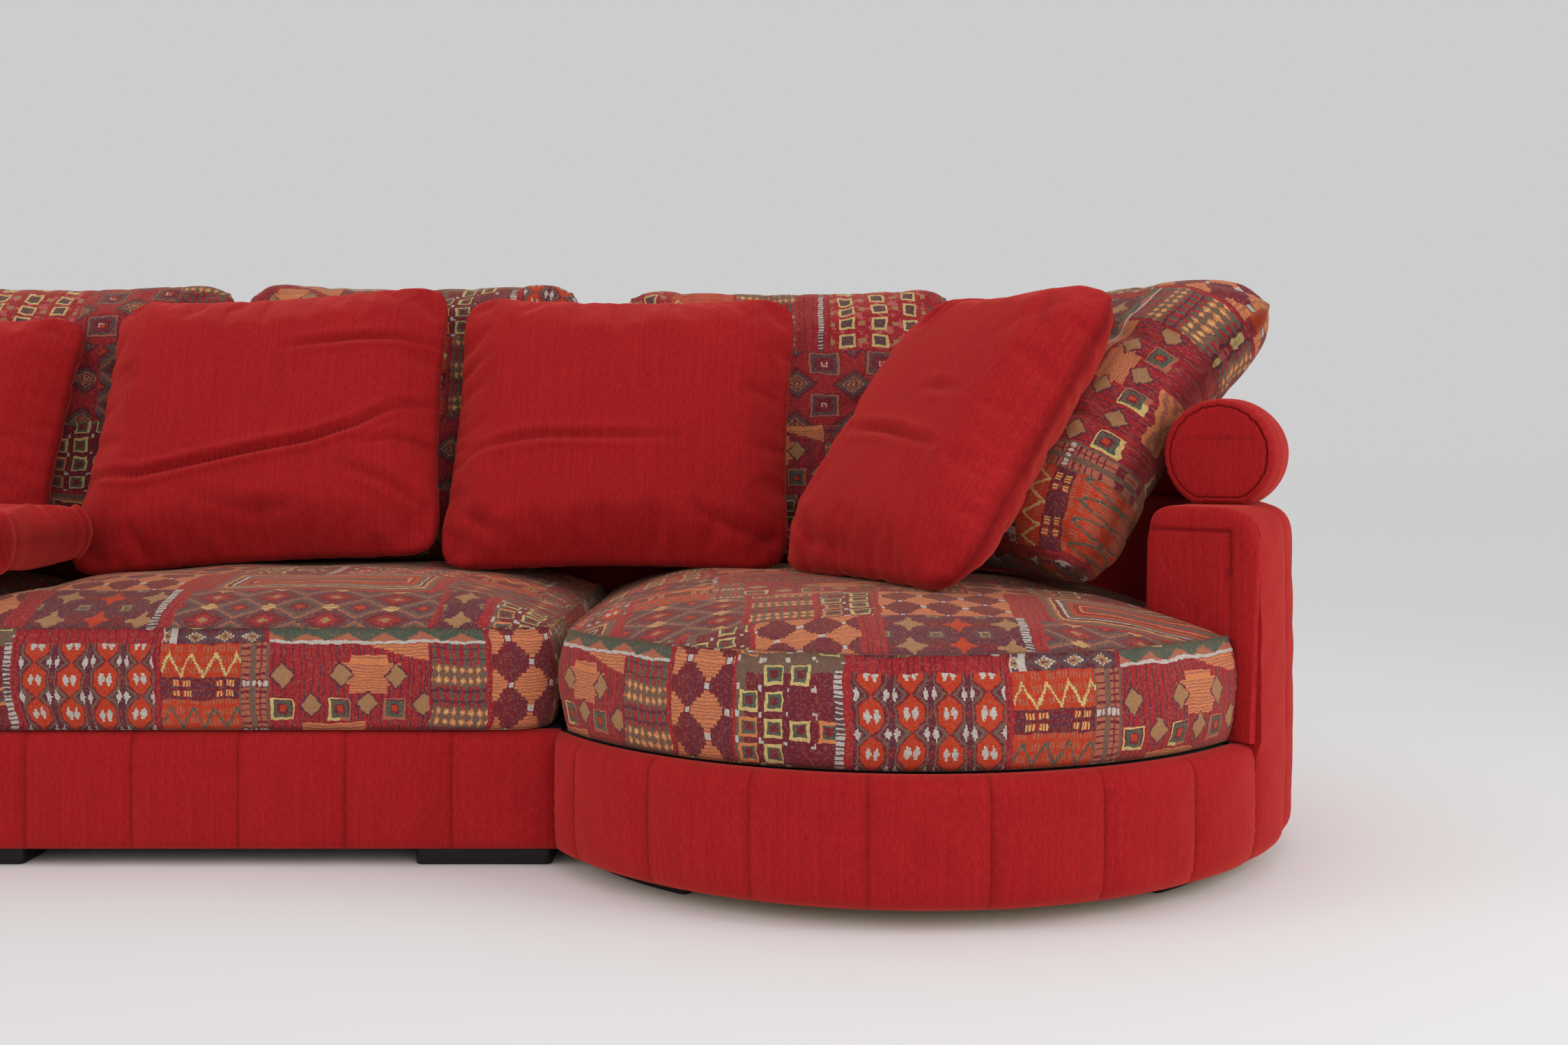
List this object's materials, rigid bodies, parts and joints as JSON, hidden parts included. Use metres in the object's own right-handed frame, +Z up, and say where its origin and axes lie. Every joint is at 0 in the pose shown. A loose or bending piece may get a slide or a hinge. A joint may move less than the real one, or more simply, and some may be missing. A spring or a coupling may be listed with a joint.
{
  "type": "modular sofa",
  "caption": "Low modular sofa: straight modules and a round end with channelled wrap-round wall, bolster roll, deep patterned seat cushions, back cushions and loose pillows.",
  "frame": {"origin": "on the floor, under the middle of the sofa's bounding box", "axes": "+X to the sitter's left, which is the right in the picture, along the sofa; +Y towards the back; +Z up"},
  "size_m": [3.3032, 1.3237, 0.9785],
  "materials": {
    "red_cloth": "matte",
    "tapestry": "matte",
    "foam": "matte",
    "black_block": "satin",
    "timber": "matte",
    "plywood": "matte",
    "jute": "matte",
    "steel": "satin",
    "dust_cloth": "matte"
  },
  "bodies": {
    "middle_module": {"middle_front_rail": "timber", "middle_back_rails": "timber", "middle_side_rails": "timber", "middle_corner_blocks": "timber", "middle_webbing": "jute", "middle_deck_pad": "foam", "middle_dust_cover": "dust_cloth", "middle_feet": "black_block", "middle_front_cover": "red_cloth", "middle_side_panels": "red_cloth", "middle_uprights": "plywood", "middle_back_panel": "timber", "middle_top_rail": "plywood", "middle_back_cover": "red_cloth", "middle_bolster": "red_cloth", "middle_connector_jaws": "steel"},
    "left_module": {"left_front_rail": "timber", "left_back_rails": "timber", "left_side_rails": "timber", "left_corner_blocks": "timber", "left_webbing": "jute", "left_deck_pad": "foam", "left_dust_cover": "dust_cloth", "left_feet": "black_block", "left_front_cover": "red_cloth", "left_side_panels": "red_cloth", "left_uprights": "plywood", "left_back_panel": "timber", "left_top_rail": "plywood", "left_back_cover": "red_cloth", "left_bolster": "red_cloth", "left_connector_blades": "steel"},
    "round_module": {"round_bottom_board": "plywood", "round_base_blocks": "timber", "round_deck_board": "plywood", "round_base_skin": "timber", "round_deck_pad": "foam", "round_feet": "black_block", "round_base_cover": "red_cloth", "round_side_panels": "red_cloth", "round_uprights": "plywood", "round_wall_skins": "timber", "round_top_rail": "plywood", "round_wall_cover": "red_cloth", "round_wall_end": "red_cloth", "round_bolster": "red_cloth", "round_connector_blades": "steel"},
    "left_seat": {"left_seat_cushion": "tapestry"},
    "middle_seat": {"middle_seat_cushion": "tapestry"},
    "round_seat": {"round_seat_cushion": "tapestry"},
    "far_left_cushion": {"back_cushion_far_left": "tapestry"},
    "left_cushion": {"back_cushion_left": "tapestry"},
    "middle_cushion": {"back_cushion_middle": "tapestry"},
    "right_cushion": {"back_cushion_right": "tapestry"},
    "corner_cushion": {"back_cushion_corner": "tapestry"},
    "far_left_pillow": {"pillow_far_left": "red_cloth"},
    "left_pillow": {"pillow_left": "red_cloth"},
    "middle_pillow": {"pillow_middle": "red_cloth"},
    "corner_pillow": {"pillow_corner": "red_cloth"},
    "lying_pillow": {"pillow_lying": "red_cloth"}
  },
  "joints": [
    {"name": "left_module_slide", "type": "slide", "parent": "middle_module", "child": "left_module", "axis": [-1, 0, 0], "range_m": [0, 0.6]},
    {"name": "round_module_slide", "type": "slide", "parent": "middle_module", "child": "round_module", "axis": [1, 0, 0], "range_m": [0, 0.6]},
    {"name": "left_seat_slide", "type": "slide", "parent": "left_module", "child": "left_seat", "axis": [0, -1, 0], "range_m": [0, 0.8]},
    {"name": "middle_seat_slide", "type": "slide", "parent": "middle_module", "child": "middle_seat", "axis": [0, -1, 0], "range_m": [0, 0.8]},
    {"name": "round_seat_lift", "type": "slide", "parent": "round_module", "child": "round_seat", "axis": [0, 0, 1], "range_m": [0, 0.55]},
    {"name": "far_left_cushion_lift", "type": "slide", "parent": "left_module", "child": "far_left_cushion", "axis": [0, 0.2419, 0.9703], "range_m": [0, 0.5]},
    {"name": "left_cushion_lift", "type": "slide", "parent": "left_module", "child": "left_cushion", "axis": [0, 0.2419, 0.9703], "range_m": [0, 0.5]},
    {"name": "middle_cushion_lift", "type": "slide", "parent": "middle_module", "child": "middle_cushion", "axis": [0, 0.2419, 0.9703], "range_m": [0, 0.5]},
    {"name": "right_cushion_lift", "type": "slide", "parent": "round_seat", "child": "right_cushion", "axis": [0, 0.2419, 0.9703], "range_m": [0, 0.5]},
    {"name": "corner_cushion_lift", "type": "slide", "parent": "round_seat", "child": "corner_cushion", "axis": [0, 0, 1], "range_m": [0, 0.5]},
    {"name": "far_left_pillow_lift", "type": "slide", "parent": "left_module", "child": "far_left_pillow", "axis": [0, 0, 1], "range_m": [0, 0.5]},
    {"name": "left_pillow_lift", "type": "slide", "parent": "middle_module", "child": "left_pillow", "axis": [0, 0, 1], "range_m": [0, 0.5]},
    {"name": "middle_pillow_lift", "type": "slide", "parent": "round_seat", "child": "middle_pillow", "axis": [0, 0, 1], "range_m": [0, 0.5]},
    {"name": "corner_pillow_lift", "type": "slide", "parent": "corner_cushion", "child": "corner_pillow", "axis": [0, 0, 1], "range_m": [0, 0.5]},
    {"name": "lying_pillow_lift", "type": "slide", "parent": "left_seat", "child": "lying_pillow", "axis": [0, 0, 1], "range_m": [0, 0.4]}
  ]
}
